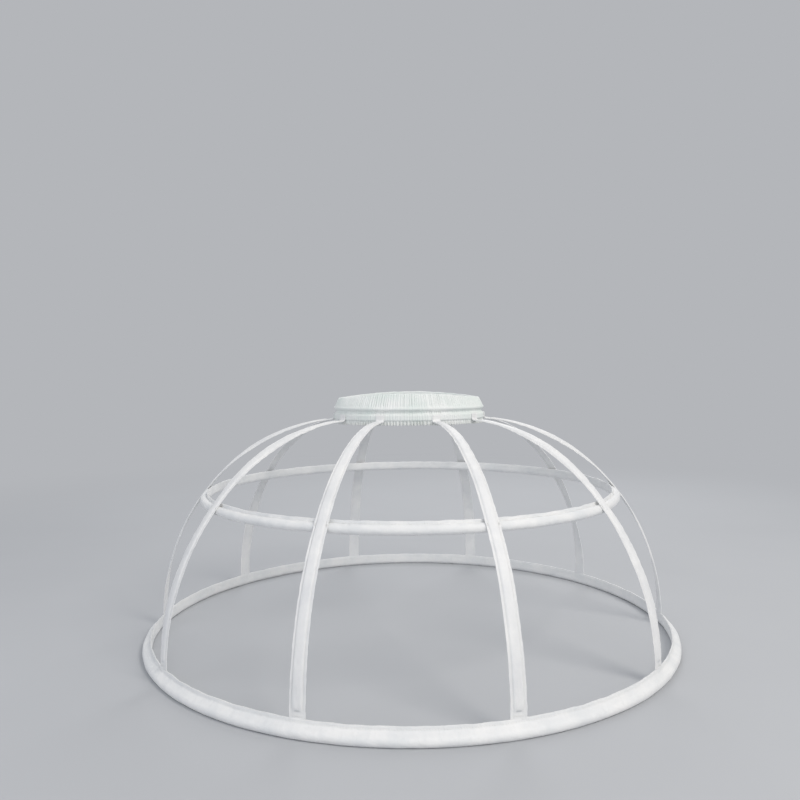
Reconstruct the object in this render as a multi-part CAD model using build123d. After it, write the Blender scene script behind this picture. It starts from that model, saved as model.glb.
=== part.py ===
"""Crinoline cage: a gathered elastic waistband, ten boned ribs and two fabric covered hoops.

Units are mm, +Z is up, the hem stands on z = 0 and the front of the cage faces -Y.
Angles round the cage are in degrees from the front (-Y) towards +X.
"""
from build123d import *
import math
import os

os.makedirs("parts", exist_ok=True)

# Hoops: each is a round sleeve with a flat seam flange along its inner top side
HEM_TUBE_R = 396.0        # circle of the hem sleeve's centre
HEM_SLEEVE_R = 6.5        # outside radius of the hem sleeve
HEM_HEIGHT = 20.0         # floor to the top edge of the hem flange
HEM_FLAT = 0.4            # how much the sleeve is pressed flat where it stands
UPPER_TUBE_R = 313.0
UPPER_SLEEVE_R = 6.1
UPPER_HEIGHT = 16.0       # bottom of the sleeve to the top edge of its flange
UPPER_TOP = 224.0         # height of the upper flange's top edge
FLANGE_T = 2.6
FLANGE_SHOW = 4.5         # flange standing clear above the shoulder of the sleeve
SLEEVE_WALL = 1.0
CORE_WALL = 1.2           # wall of the plastic tube inside each sleeve
CORE_SLIT = 0.6           # gap between the two ends of the bent tube
JOINER_LENGTH = 60.0      # plug that joins the two ends
JOINER_ANGLE = 180.0      # the joint sits at the back

# Waistband, sizes are half widths in X; half depths in Y are smaller by BAND_OVAL
LOWER_HALF = 117.0        # outside of the smooth lower band
NECK_HALF = 113.4
RIDGE_HALF = 117.2
GATHER_HALF = 115.6       # gathered band where it leaves the ridge
TOP_HALF = 106.0
BAND_OVAL = 22.0
FRILL_Z = 321.0
LOWER_Z = 328.2
NECK_Z = 336.9
RIDGE_Z = 342.7
GATHER_Z = 348.5
TOP_Z = 368.0
TOP_DIP = 7.5             # the top edge is lower at the two sides
GATHERS = 150             # folds round the band
GATHER_DEPTH = 1.1
BAND_WALL = 3.4           # casing, elastic and lining together
NECK_WALL = 2.4
LINING = 0.9
ELASTIC_T = 1.2
ELASTIC_EDGE = 1.5        # casing left above and below the elastic
FRILL_T = 0.8
FRILL_TUFTS = 148
FRILL_WAVE = 1.0          # sideways swing of the frill at its free edge
FRILL_SET_BACK = 0.3      # the frill stays this far behind the lower band's face

# Ribs, flat boning channels
HEM_ANGLES = [18.0, 54.0, 90.0, 126.0, 162.0]     # right hand side; the left is its mirror image
WAIST_ANGLES = [20.4, 57.0, 90.0, 123.0, 159.6]
RIB_WIDTH = 20.0          # at the hem; the ribs draw in towards the waist
RIB_WAIST_W = 12.4
RIB_PLIES = 1.4           # two layers of tape at the stitched margins
RIB_RAISED_W = 12.8       # raised middle over the bone, at the hem
RIB_RAISED_WAIST = 8.6    # and at the waist
BONE_W = 6.0
BONE_T = 1.4
BONE_EASE = 0.2           # room beside, above and past the ends of the bone
TAPE = 0.7                # one layer of tape
TAB_Z = 336.5             # top of the end sewn to the lower band
TAB_DROP = 6.0
BEND_R = 4.0
TAB_PAD = 1.2             # end turned under, shaped to the curve of the band
RAISE_START = 6.0         # from the bend to the raised middle
RAISE_STOP = 7.0          # from the raised middle to the hem flange
TAIL_T = 0.8
TAIL_W = 18.0
TAIL_LENGTH = 6.0         # tucked between the layers of the hem flange
HOOP_CLEAR = 0.4          # between the middle of a rib and the upper sleeve that it crosses
HOOP_FLAT = 12.0          # straight stretch of the rib where it crosses that sleeve

# Thread tacks
THREAD = 0.8
THREAD_PROUD = 0.4
WAIST_TACK_W = 9.0
HEM_TACK_W = 15.0
HEM_TACK_UP = 3.0         # above the hem flange
CROSS_TACK_W = 2.2


def heading_vector(angle):
    return (math.cos(math.radians(angle)), math.sin(math.radians(angle)))


def segment(start, angle, end, end_angle):
    """One piece of a path: a line or a circular arc with its directions at both ends."""
    chord = math.dist(start, end)
    half_turn = math.radians(end_angle - angle) / 2
    length = chord
    if abs(half_turn) > 1e-9:
        length = chord * half_turn / math.sin(half_turn)
    return {"start": start, "angle": angle, "end": end, "end_angle": end_angle, "length": length}


def arc_from(start, angle, radius, turn):
    """An arc from a point and a direction; a turn above 0 goes to the left."""
    chord = 2 * radius * math.sin(math.radians(abs(turn)) / 2)
    along = heading_vector(angle + turn / 2)
    end = (start[0] + chord * along[0], start[1] + chord * along[1])
    return segment(start, angle, end, angle + turn)


def at(seg, part):
    """Point and direction at a share of the length of a segment."""
    turn = seg["end_angle"] - seg["angle"]
    if abs(turn) < 1e-9:
        point = [a + part * (b - a) for a, b in zip(seg["start"], seg["end"])]
        return point, seg["angle"]
    radius = seg["length"] / math.radians(abs(turn))
    chord = 2 * radius * math.sin(math.radians(abs(turn)) * part / 2)
    along = heading_vector(seg["angle"] + turn * part / 2)
    point = [seg["start"][0] + chord * along[0], seg["start"][1] + chord * along[1]]
    return point, seg["angle"] + turn * part


def offset_point(seg, part, distance):
    point, angle = at(seg, part)
    left = heading_vector(angle + 90)
    return (point[0] + distance * left[0], point[1] + distance * left[1])


def clip(path, first, last):
    """The pieces of a path between two lengths, each with its two shares."""
    pieces = []
    run = 0.0
    for seg in path:
        low = max(first, run)
        high = min(last, run + seg["length"])
        if high - low > 1e-6:
            pieces.append((seg, (low - run) / seg["length"], (high - run) / seg["length"]))
        run += seg["length"]
    return pieces


def side_edges(pieces, distance):
    edges = []
    for seg, low, high in pieces:
        a = offset_point(seg, low, distance)
        b = offset_point(seg, high, distance)
        if abs(seg["end_angle"] - seg["angle"]) < 1e-9:
            edges.append(Edge.make_line(a, b))
        else:
            middle = offset_point(seg, (low + high) / 2, distance)
            edges.append(Edge.make_three_point_arc(a, middle, b))
    return edges


def ribbon(plane, path, first, last, inner, outer, width, shift=0.0):
    """A flat strip that follows the path between two lengths and two offsets from it."""
    pieces = clip(path, first, last)
    low_side = side_edges(pieces, inner)
    high_side = side_edges(pieces, outer)
    seg_a, part_a, _ = pieces[0]
    seg_b, _, part_b = pieces[-1]
    cap_a = Edge.make_line(offset_point(seg_a, part_a, inner), offset_point(seg_a, part_a, outer))
    cap_b = Edge.make_line(offset_point(seg_b, part_b, inner), offset_point(seg_b, part_b, outer))
    outline = Wire(low_side + [cap_b] + high_side + [cap_a])
    strip = extrude(Face(outline), amount=width / 2, both=True)
    return plane * Pos(0, 0, shift) * strip


def tack(plane, path, place, width, shift=0.0):
    """A bar of thread across the rib, pulled into the tape as far as it stands proud."""
    return ribbon(plane, path, place - THREAD / 2, place + THREAD / 2, RIB_PLIES / 2 - THREAD_PROUD,
                  RIB_PLIES / 2 + THREAD_PROUD, width, shift)


def run_to_circle(origin, direction, radius):
    """Distance from a point along a flat direction to a circle round the axis."""
    along = origin[0] * direction[0] + origin[1] * direction[1]
    inside = radius ** 2 - origin[0] ** 2 - origin[1] ** 2
    return -along + math.sqrt(along ** 2 + inside)


def rib_frame(waist_angle, hem_angle):
    """Upright plane of a rib and its path in that plane: x runs outwards, y is height."""
    wa = math.radians(waist_angle)
    ha = math.radians(hem_angle)
    waist = (LOWER_HALF * math.sin(wa), -(LOWER_HALF - BAND_OVAL) * math.cos(wa))
    hem = (HEM_FLANGE_R * math.sin(ha), -HEM_FLANGE_R * math.cos(ha))
    reach = math.dist(waist, hem)
    direction = ((hem[0] - waist[0]) / reach, (hem[1] - waist[1]) / reach)
    plane = Plane(origin=(waist[0], waist[1], 0), x_dir=(direction[0], direction[1], 0),
                  z_dir=(direction[1], -direction[0], 0))
    hoop_x = run_to_circle(waist, direction, UPPER_TUBE_R)
    hoop_z = UPPER_TOP - UPPER_HEIGHT + UPPER_SLEEVE_R
    stand_off = UPPER_SLEEVE_R + RIB_PLIES / 2 + HOOP_CLEAR
    start = (RIB_PLIES / 2, TAB_Z)
    knee = (RIB_PLIES / 2, TAB_Z - TAB_DROP)
    foot = (reach, HEM_HEIGHT)
    slope_c = 50.0
    slope_w = 8.0
    for _ in range(30):
        down = heading_vector(-slope_c)
        across = heading_vector(90 - slope_c)
        cross = (hoop_x + stand_off * across[0], hoop_z + stand_off * across[1])
        flat_a = (cross[0] - HOOP_FLAT / 2 * down[0], cross[1] - HOOP_FLAT / 2 * down[1])
        flat_b = (cross[0] + HOOP_FLAT / 2 * down[0], cross[1] + HOOP_FLAT / 2 * down[1])
        bend = arc_from(knee, -90, BEND_R, 90 - slope_w)
        begin = bend["end"]
        drop = math.degrees(math.atan2(flat_b[1] - foot[1], foot[0] - flat_b[0]))
        fall = math.degrees(math.atan2(begin[1] - flat_a[1], flat_a[0] - begin[0]))
        slope_w = 2 * fall - slope_c
        slope_c = 2 * drop - 90
    path = [segment(start, -90, knee, -90), bend,
            segment(begin, -slope_w, flat_a, -slope_c),
            segment(flat_a, -slope_c, flat_b, -slope_c),
            segment(flat_b, -slope_c, foot, -90),
            segment(foot, -90, (foot[0], foot[1] - TAIL_LENGTH), -90)]
    return plane, path, reach


def width_at(distance, reach, waist_width, hem_width):
    """Width of a rib that narrows evenly, at a flat distance out from the waistband."""
    return waist_width + (hem_width - waist_width) * distance / reach


def wedge(plane, reach, waist_width, hem_width):
    """Room for a narrowing rib: everything between its two upright sides."""
    corners = []
    for distance in (-3 * BEND_R, reach + 3 * BEND_R):
        corners.append((distance, width_at(distance, reach, waist_width, hem_width) / 2))
    (near, near_half), (far, far_half) = corners
    outline = [(near, 0, near_half), (far, 0, far_half), (far, 0, -far_half), (near, 0, -near_half)]
    sides = [Edge.make_line(a, b) for a, b in zip(outline, outline[1:] + outline[:1])]
    return plane * extrude(Face(Wire(sides)), amount=TOP_Z, dir=(0, 1, 0))


def fold_phase(count, angle):
    """Folds are a little uneven, as hand drawn gathers are."""
    return count * angle + 0.8 * math.sin(5 * angle) + 0.6 * math.sin(11 * angle + 1.0)


def loop_edge(half, height, depth=0.0, count=0, dip=0.0, lean=0.0):
    """Closed oval line; it can be folded in and out, and can dip at the two sides."""
    steps = max(count * 4, 96)
    points = []
    for i in range(steps):
        angle = 2 * math.pi * i / steps
        fall = dip * math.sin(angle) ** 2
        swing = fall * lean - depth * (0.5 - 0.5 * math.cos(fold_phase(count, angle)))
        x = (half + swing) * math.sin(angle)
        y = -(half - BAND_OVAL + swing) * math.cos(angle)
        points.append((x, y, height - fall))
    shares = [i / steps for i in range(steps + 1)]
    return Edge.make_spline(points, periodic=True, parameters=shares)


def band_solid(loops):
    """Closed band whose wall goes round through the loops, one straight stage after another."""
    faces = []
    for low, high in zip(loops, loops[1:] + loops[:1]):
        faces.append(Face.make_surface_from_curves(low, high))
    return Solid(Shell(faces))


def gather_half(height):
    """Half width of the leaning gathered band at a height."""
    share = (height - GATHER_Z) / (TOP_Z - GATHER_Z)
    return GATHER_HALF + share * (TOP_HALF - GATHER_HALF)


def hoop_section(tube_r, centre_z, sleeve_r, top_z):
    """Half plane outline of a sleeve with its seam flange; x is the radius."""
    inner = tube_r - sleeve_r
    outer = inner + FLANGE_T
    shoulder = top_z - FLANGE_SHOW
    reach = math.dist((outer, shoulder), (tube_r, centre_z))
    touch = math.atan2(shoulder - centre_z, outer - tube_r) - math.acos(sleeve_r / reach)
    under = (touch - math.pi) / 2
    hip = (tube_r + sleeve_r * math.cos(touch), centre_z + sleeve_r * math.sin(touch))
    belly = (tube_r + sleeve_r * math.cos(under), centre_z + sleeve_r * math.sin(under))
    return Face(Wire([
        Edge.make_line((inner, centre_z), (inner, top_z)),
        Edge.make_line((inner, top_z), (outer, top_z)),
        Edge.make_line((outer, top_z), (outer, shoulder)),
        Edge.make_line((outer, shoulder), hip),
        Edge.make_three_point_arc(hip, belly, (inner, centre_z))]))


def ring(section, turn=360.0, first=0.0):
    """Turn a half plane outline round the upright axis."""
    start = Plane.XZ * section
    return Rot(0, 0, first) * revolve(start, axis=Axis.Z, revolution_arc=turn)


def hoop_parts(tube_r, centre_z, sleeve_r, top_z):
    back = JOINER_ANGLE - 90
    sleeve = ring(hoop_section(tube_r, centre_z, sleeve_r, top_z), 360, back)
    core_r = sleeve_r - SLEEVE_WALL
    bore_r = core_r - CORE_WALL
    place = Pos(tube_r, centre_z)
    sleeve -= ring(place * Circle(core_r), 360, back)
    slit = math.degrees(CORE_SLIT / tube_r)
    plug = math.degrees(JOINER_LENGTH / tube_r)
    core = ring(place * Circle(core_r) - place * Circle(bore_r), 360 - slit, back + slit / 2)
    joiner = ring(place * Circle(bore_r), plug, back - plug / 2)
    return sleeve, core, joiner


HEM_FLANGE_R = HEM_TUBE_R - HEM_SLEEVE_R + FLANGE_T / 2
HEM_CENTRE_Z = HEM_SLEEVE_R - HEM_FLAT
UPPER_CENTRE_Z = UPPER_TOP - UPPER_HEIGHT + UPPER_SLEEVE_R

hem_cover, hem_core, hem_joiner = hoop_parts(HEM_TUBE_R, HEM_CENTRE_Z, HEM_SLEEVE_R, HEM_HEIGHT)
hem_cover -= Pos(0, 0, -5) * Cylinder(HEM_TUBE_R + HEM_SLEEVE_R + 10, 10)
upper_cover, upper_core, upper_joiner = hoop_parts(UPPER_TUBE_R, UPPER_CENTRE_Z, UPPER_SLEEVE_R, UPPER_TOP)

# Waistband
lower_body = Pos(0, 0, LOWER_Z) * extrude(Ellipse(LOWER_HALF, LOWER_HALF - BAND_OVAL), NECK_Z - LOWER_Z)
lean = (GATHER_HALF - TOP_HALF) / (TOP_Z - GATHER_Z)
lining_set = BAND_WALL + GATHER_DEPTH
neck_in = NECK_HALF - NECK_WALL
soft = GATHER_DEPTH / 2
casing = band_solid([
    loop_edge(LOWER_HALF, LOWER_Z, 0, GATHERS),
    loop_edge(LOWER_HALF, NECK_Z, 0, GATHERS),
    loop_edge(NECK_HALF + soft, NECK_Z, soft, GATHERS),
    loop_edge(NECK_HALF, RIDGE_Z - 1.2, GATHER_DEPTH, GATHERS),
    loop_edge(RIDGE_HALF - 1.2, RIDGE_Z + 0.8, soft, GATHERS),
    loop_edge(RIDGE_HALF, RIDGE_Z + 2.9, soft, GATHERS),
    loop_edge(RIDGE_HALF - 1.2, RIDGE_Z + 5.0, soft, GATHERS),
    loop_edge(GATHER_HALF, GATHER_Z, GATHER_DEPTH, GATHERS),
    loop_edge(TOP_HALF, TOP_Z, GATHER_DEPTH, GATHERS, TOP_DIP, lean),
    loop_edge(TOP_HALF - lining_set, TOP_Z, 0, GATHERS, TOP_DIP, lean),
    loop_edge(GATHER_HALF - lining_set, GATHER_Z, 0, GATHERS),
    loop_edge(neck_in, RIDGE_Z + 1.0, 0, GATHERS),
    loop_edge(neck_in, NECK_Z + 1.5, 0, GATHERS),
    loop_edge(LOWER_HALF - BAND_WALL, NECK_Z, 0, GATHERS),
    loop_edge(LOWER_HALF - BAND_WALL, LOWER_Z, 0, GATHERS)])
elastic_low = GATHER_Z + ELASTIC_EDGE
elastic_top = TOP_Z - ELASTIC_EDGE
elastic_in = lining_set - LINING
elastic_out = elastic_in - ELASTIC_T
elastic = band_solid([
    loop_edge(gather_half(elastic_low) - elastic_out, elastic_low),
    loop_edge(gather_half(elastic_top) - elastic_out, elastic_top, 0, 0, TOP_DIP, lean),
    loop_edge(gather_half(elastic_top) - elastic_in, elastic_top, 0, 0, TOP_DIP, lean),
    loop_edge(gather_half(elastic_low) - elastic_in, elastic_low)])
casing -= elastic

frill_half = LOWER_HALF - FRILL_SET_BACK
frill = band_solid([
    loop_edge(frill_half, FRILL_Z, FRILL_WAVE, FRILL_TUFTS),
    loop_edge(frill_half - 0.5, LOWER_Z, FRILL_WAVE / 3, FRILL_TUFTS),
    loop_edge(frill_half - 0.5 - FRILL_T, LOWER_Z, FRILL_WAVE / 3, FRILL_TUFTS),
    loop_edge(frill_half - FRILL_T, FRILL_Z, FRILL_WAVE, FRILL_TUFTS)])


def both_sides(shapes):
    """The right hand pieces, front to back, then their left hand twins, back to front."""
    return shapes + [mirror(shape, about=Plane.YZ) for shape in reversed(shapes)]


# Ribs with their bones and tacks
half_ply = RIB_PLIES / 2
raised_top = TAPE * 2 + BONE_T + BONE_EASE - half_ply
bone_low = TAPE - half_ply
covers = []
bones = []
tails = []
waist_tacks = []
cross_tacks = []
hem_tacks = []
for waist_angle, hem_angle in zip(WAIST_ANGLES, HEM_ANGLES):
    plane, path, reach = rib_frame(waist_angle, hem_angle)
    room = wedge(plane, reach, RIB_WAIST_W, RIB_WIDTH)
    raised_room = wedge(plane, reach, RIB_RAISED_WAIST, RIB_RAISED_W)
    ends = [0.0]
    for seg in path:
        ends.append(ends[-1] + seg["length"])
    raise_from = ends[2] + RAISE_START
    raise_to = ends[5] - RAISE_STOP
    bone_from = raise_from + TAPE + BONE_EASE
    bone_to = raise_to - TAPE - BONE_EASE
    tail = ribbon(plane, path, ends[5], ends[6], -TAIL_T / 2, TAIL_T / 2, TAIL_W)
    pad = ribbon(plane, path, 0, ends[1], -half_ply - TAB_PAD, -half_ply, RIB_WIDTH)
    raised = ribbon(plane, path, raise_from, raise_to, -half_ply, raised_top, RIB_RAISED_W)
    pocket = ribbon(plane, path, bone_from - BONE_EASE, bone_to + BONE_EASE,
                    bone_low, bone_low + BONE_T + BONE_EASE, BONE_W + 2 * BONE_EASE)
    waist_at = ends[1] / 2
    cross_at = (ends[3] + ends[4]) / 2
    hem_at = ends[5] - HEM_TACK_UP
    waist_tack = tack(plane, path, waist_at, WAIST_TACK_W)
    hem_tack = tack(plane, path, hem_at, HEM_TACK_W)
    cross_x = at(path[3], 0.5)[0][0]
    side = (width_at(cross_x, reach, RIB_WAIST_W, RIB_WIDTH)
            + width_at(cross_x, reach, RIB_RAISED_WAIST, RIB_RAISED_W)) / 4
    crossing = [tack(plane, path, cross_at, CROSS_TACK_W, way * side) for way in (-1, 1)]
    strip = ribbon(plane, path, 0, ends[5], -half_ply, half_ply, RIB_WIDTH).fuse(pad)
    cover = (strip & room).fuse(raised & raised_room, tail)
    cover = cover.cut(pocket, lower_body, waist_tack, hem_tack, *crossing)
    covers.append(cover)
    bones.append(ribbon(plane, path, bone_from, bone_to, bone_low, bone_low + BONE_T, BONE_W))
    tails.append(tail)
    waist_tacks.append(waist_tack)
    cross_tacks += crossing
    hem_tacks.append(hem_tack)
covers = both_sides(covers)
bones = both_sides(bones)
hem_cover = hem_cover.cut(*both_sides(tails))


def solids_of(shapes):
    found = []
    for shape in shapes:
        found += list(shape.solids())
    return found


def save(shape, node):
    pieces = solids_of([shape])
    export_step(pieces[0] if len(pieces) == 1 else Compound(children=pieces), f"parts/{node}.step")


save(casing, "waistband_casing")
save(elastic, "waist_elastic")
save(frill, "waist_frill")
save(hem_cover, "hem_hoop_cover")
save(hem_core, "hem_hoop_core")
save(hem_joiner, "hem_hoop_joiner")
save(upper_cover, "upper_hoop_cover")
save(upper_core, "upper_hoop_core")
save(upper_joiner, "upper_hoop_joiner")
for number, (cover, bone) in enumerate(zip(covers, bones), start=1):
    save(cover, f"rib_cover_{number:02d}")
    save(bone, f"rib_bone_{number:02d}")
save(Compound(children=solids_of(both_sides(waist_tacks))), "waist_tacks")
save(Compound(children=solids_of(both_sides(cross_tacks))), "upper_hoop_tacks")
save(Compound(children=solids_of(both_sides(hem_tacks))), "hem_hoop_tacks")
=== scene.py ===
"""Crinoline cage: the looks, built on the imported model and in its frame.

Lengths are in mm and become metres where a mesh is made. Angles round the cage are in degrees
from the front (-Y) towards +X, as in the part's source.
"""
import math
import random

import bpy
from mathutils import Matrix, Vector, noise


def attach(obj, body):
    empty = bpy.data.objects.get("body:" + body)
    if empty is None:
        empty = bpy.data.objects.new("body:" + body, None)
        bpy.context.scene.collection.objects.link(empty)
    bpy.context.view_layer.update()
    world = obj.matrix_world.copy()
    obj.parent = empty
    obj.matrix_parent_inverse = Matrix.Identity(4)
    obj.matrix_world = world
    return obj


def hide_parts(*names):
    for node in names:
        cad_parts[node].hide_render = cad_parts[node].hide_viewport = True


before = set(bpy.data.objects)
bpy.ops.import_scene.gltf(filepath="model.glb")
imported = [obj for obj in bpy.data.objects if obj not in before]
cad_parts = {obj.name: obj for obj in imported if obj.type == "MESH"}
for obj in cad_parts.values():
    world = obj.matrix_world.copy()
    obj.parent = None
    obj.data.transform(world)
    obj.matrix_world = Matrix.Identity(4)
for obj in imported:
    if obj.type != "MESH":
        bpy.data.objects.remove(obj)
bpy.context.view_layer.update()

MM = 0.001

# Sizes shared with the part's source
HEM_TUBE_R = 396.0
HEM_SLEEVE_R = 6.5
HEM_HEIGHT = 20.0
HEM_FLAT = 0.4
UPPER_TUBE_R = 313.0
UPPER_SLEEVE_R = 6.1
UPPER_HEIGHT = 16.0
UPPER_TOP = 224.0
FLANGE_T = 2.6
FLANGE_SHOW = 4.5
LOWER_HALF = 117.0
NECK_HALF = 113.4
RIDGE_HALF = 117.2
GATHER_HALF = 115.6
TOP_HALF = 106.0
BAND_OVAL = 22.0
FRILL_Z = 321.0
LOWER_Z = 328.2
NECK_Z = 336.9
RIDGE_Z = 342.7
GATHER_Z = 348.5
TOP_Z = 368.0
TOP_DIP = 7.5
BAND_WALL = 3.4
NECK_WALL = 2.4
HEM_ANGLES = [18.0, 54.0, 90.0, 126.0, 162.0]
WAIST_ANGLES = [20.4, 57.0, 90.0, 123.0, 159.6]
RIB_WIDTH = 20.0
RIB_WAIST_W = 12.4
RIB_RAISED_W = 12.8
RIB_RAISED_WAIST = 8.6
RIB_PLIES = 1.4
TAB_Z = 336.5
TAB_DROP = 6.0
BEND_R = 4.0
RAISE_START = 6.0
RAISE_STOP = 7.0
HOOP_CLEAR = 0.4
HOOP_FLAT = 12.0
HEM_TACK_UP = 3.0

HEM_FLANGE_R = HEM_TUBE_R - HEM_SLEEVE_R + FLANGE_T / 2
HEM_CENTRE_Z = HEM_SLEEVE_R - HEM_FLAT
UPPER_CENTRE_Z = UPPER_TOP - UPPER_HEIGHT + UPPER_SLEEVE_R

# Sizes that only the looks need
RAISED_TOP = 2.3
SEAM_GAP = 0.55
TAIL_SHOWN = 4.0
BAND_FOLDS = 196
FOLD_DEPTH = 2.3
BAND_STEPS = 1568
TUFTS = 148
STEPS_PER_TUFT = 12
FRILL_INSET = 2.0
OVERLOCK_LOOPS = 444
GATHER_STEPS = 800
HEM_STEPS = 1700
UPPER_STEPS = 1400
STITCH_PITCH = 3.1
STITCH_LENGTH = 2.5
STITCH_R = 0.26

# Camera fitted to the two hoops in the photo: degrees, mm of lens and metres
CAMERA_YAW = -1.31
CAMERA_PITCH = -1.75
CAMERA_ROLL = -0.55
CAMERA_LENS = 33.76
CAMERA_PLACE = (0.01347, -1.17861, 0.39196)

# Point that the lamps look at, in metres, and the colour behind the part
LAMP_AIM = (0, 0, 0.2)
BACKDROP = "#B4B6BA"


def linear(code):
    """sRGB hex code to the linear colour that shaders use."""
    parts = [int(code[i:i + 2], 16) / 255 for i in (1, 3, 5)]
    return [c / 12.92 if c <= 0.04045 else ((c + 0.055) / 1.055) ** 2.4 for c in parts] + [1.0]


def smooth(low, high, value):
    """0 below low, 1 above high, with a soft rise between."""
    share = min(1.0, max(0.0, (value - low) / (high - low)))
    return share * share * (3 - 2 * share)


def ripple(a, b, c=0.0):
    """Even noise between about -1 and 1."""
    return noise.noise(Vector((a, b, c))) * 1.6


# Paths of the ribs, as in the part's source

def heading_vector(angle):
    """Direction in a rib's upright plane; 0 is outwards and 90 is up."""
    return (math.cos(math.radians(angle)), math.sin(math.radians(angle)))


def segment(start, angle, end, end_angle):
    """Straight line or arc between two points, with the direction at each."""
    chord = math.dist(start, end)
    half_turn = math.radians(end_angle - angle) / 2
    length = chord
    if abs(half_turn) > 1e-9:
        length = chord * half_turn / math.sin(half_turn)
    return {"start": start, "angle": angle, "end": end, "end_angle": end_angle, "length": length}


def arc_from(start, angle, radius, turn):
    chord = 2 * radius * math.sin(math.radians(abs(turn)) / 2)
    along = heading_vector(angle + turn / 2)
    end = (start[0] + chord * along[0], start[1] + chord * along[1])
    return segment(start, angle, end, angle + turn)


def at(seg, part):
    """Point and direction at a share of a segment's length."""
    turn = seg["end_angle"] - seg["angle"]
    if abs(turn) < 1e-9:
        return [a + part * (b - a) for a, b in zip(seg["start"], seg["end"])], seg["angle"]
    radius = seg["length"] / math.radians(abs(turn))
    chord = 2 * radius * math.sin(math.radians(abs(turn)) * part / 2)
    along = heading_vector(seg["angle"] + turn * part / 2)
    point = [seg["start"][0] + chord * along[0], seg["start"][1] + chord * along[1]]
    return point, seg["angle"] + turn * part


class Rib:
    """A rib's upright plane, its path and its widths."""

    def __init__(self, waist_angle, hem_angle):
        wa = math.radians(waist_angle)
        ha = math.radians(hem_angle)
        self.angle = wa
        self.waist = (LOWER_HALF * math.sin(wa), -(LOWER_HALF - BAND_OVAL) * math.cos(wa))
        hem = (HEM_FLANGE_R * math.sin(ha), -HEM_FLANGE_R * math.cos(ha))
        self.reach = math.dist(self.waist, hem)
        self.out = ((hem[0] - self.waist[0]) / self.reach, (hem[1] - self.waist[1]) / self.reach)
        along = self.waist[0] * self.out[0] + self.waist[1] * self.out[1]
        inside = UPPER_TUBE_R ** 2 - self.waist[0] ** 2 - self.waist[1] ** 2
        hoop_x = -along + math.sqrt(along ** 2 + inside)
        stand_off = UPPER_SLEEVE_R + RIB_PLIES / 2 + HOOP_CLEAR
        start = (RIB_PLIES / 2, TAB_Z)
        knee = (RIB_PLIES / 2, TAB_Z - TAB_DROP)
        foot = (self.reach, HEM_HEIGHT)
        # first guesses in degrees at the hoop and at the waist, which settle within the rounds
        hoop_slope = 50.0
        waist_slope = 8.0
        for _ in range(30):
            down = heading_vector(-hoop_slope)
            across = heading_vector(90 - hoop_slope)
            cross = (hoop_x + stand_off * across[0], UPPER_CENTRE_Z + stand_off * across[1])
            flat_a = (cross[0] - HOOP_FLAT / 2 * down[0], cross[1] - HOOP_FLAT / 2 * down[1])
            flat_b = (cross[0] + HOOP_FLAT / 2 * down[0], cross[1] + HOOP_FLAT / 2 * down[1])
            bend = arc_from(knee, -90, BEND_R, 90 - waist_slope)
            begin = bend["end"]
            drop = math.degrees(math.atan2(flat_b[1] - foot[1], foot[0] - flat_b[0]))
            fall = math.degrees(math.atan2(begin[1] - flat_a[1], flat_a[0] - begin[0]))
            waist_slope = 2 * fall - hoop_slope
            hoop_slope = 2 * drop - 90
        self.path = [segment(start, -90, knee, -90), bend,
                     segment(begin, -waist_slope, flat_a, -hoop_slope),
                     segment(flat_a, -hoop_slope, flat_b, -hoop_slope),
                     segment(flat_b, -hoop_slope, foot, -90),
                     segment(foot, -90, (foot[0], foot[1] - TAIL_SHOWN), -90)]
        self.ends = [0.0]
        for seg in self.path:
            self.ends.append(self.ends[-1] + seg["length"])
        self.cross = (self.ends[3] + self.ends[4]) / 2

    def station(self, length):
        """Point in the upright plane and direction at a length along the path."""
        for seg, low, high in zip(self.path, self.ends, self.ends[1:]):
            if length <= high or seg is self.path[-1]:
                return at(seg, (length - low) / (high - low))

    def place(self, length, side, height):
        """Point in mm from the length along the path, the distance across it and the height off it."""
        point, angle = self.station(length)
        left = heading_vector(angle + 90)
        x = point[0] + height * left[0]
        z = point[1] + height * left[1]
        return (self.waist[0] + x * self.out[0] + side * self.out[1],
                self.waist[1] + x * self.out[1] - side * self.out[0], z)

    def widths(self, length):
        """Full width and width of the raised middle."""
        share = self.station(length)[0][0] / self.reach
        return (RIB_WAIST_W + (RIB_WIDTH - RIB_WAIST_W) * share,
                RIB_RAISED_WAIST + (RIB_RAISED_W - RIB_RAISED_WAIST) * share)


# Mesh helpers

def new_object(name, points, faces, material, uvs=None, shade=True, edges=()):
    """Mesh object at the origin, from points in mm; uvs are in mm, one per corner."""
    mesh = bpy.data.meshes.new(name)
    mesh.from_pydata([(x * MM, y * MM, z * MM) for x, y, z in points], list(edges), faces)
    if uvs:
        layer = mesh.uv_layers.new(name="mm")
        layer.data.foreach_set("uv", [v * MM for pair in uvs for v in pair])
    mesh.materials.append(material)
    if shade and faces:
        mesh.polygons.foreach_set("use_smooth", [True] * len(mesh.polygons))
    mesh.update()
    obj = bpy.data.objects.new(name, mesh)
    bpy.context.scene.collection.objects.link(obj)
    return obj


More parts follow.
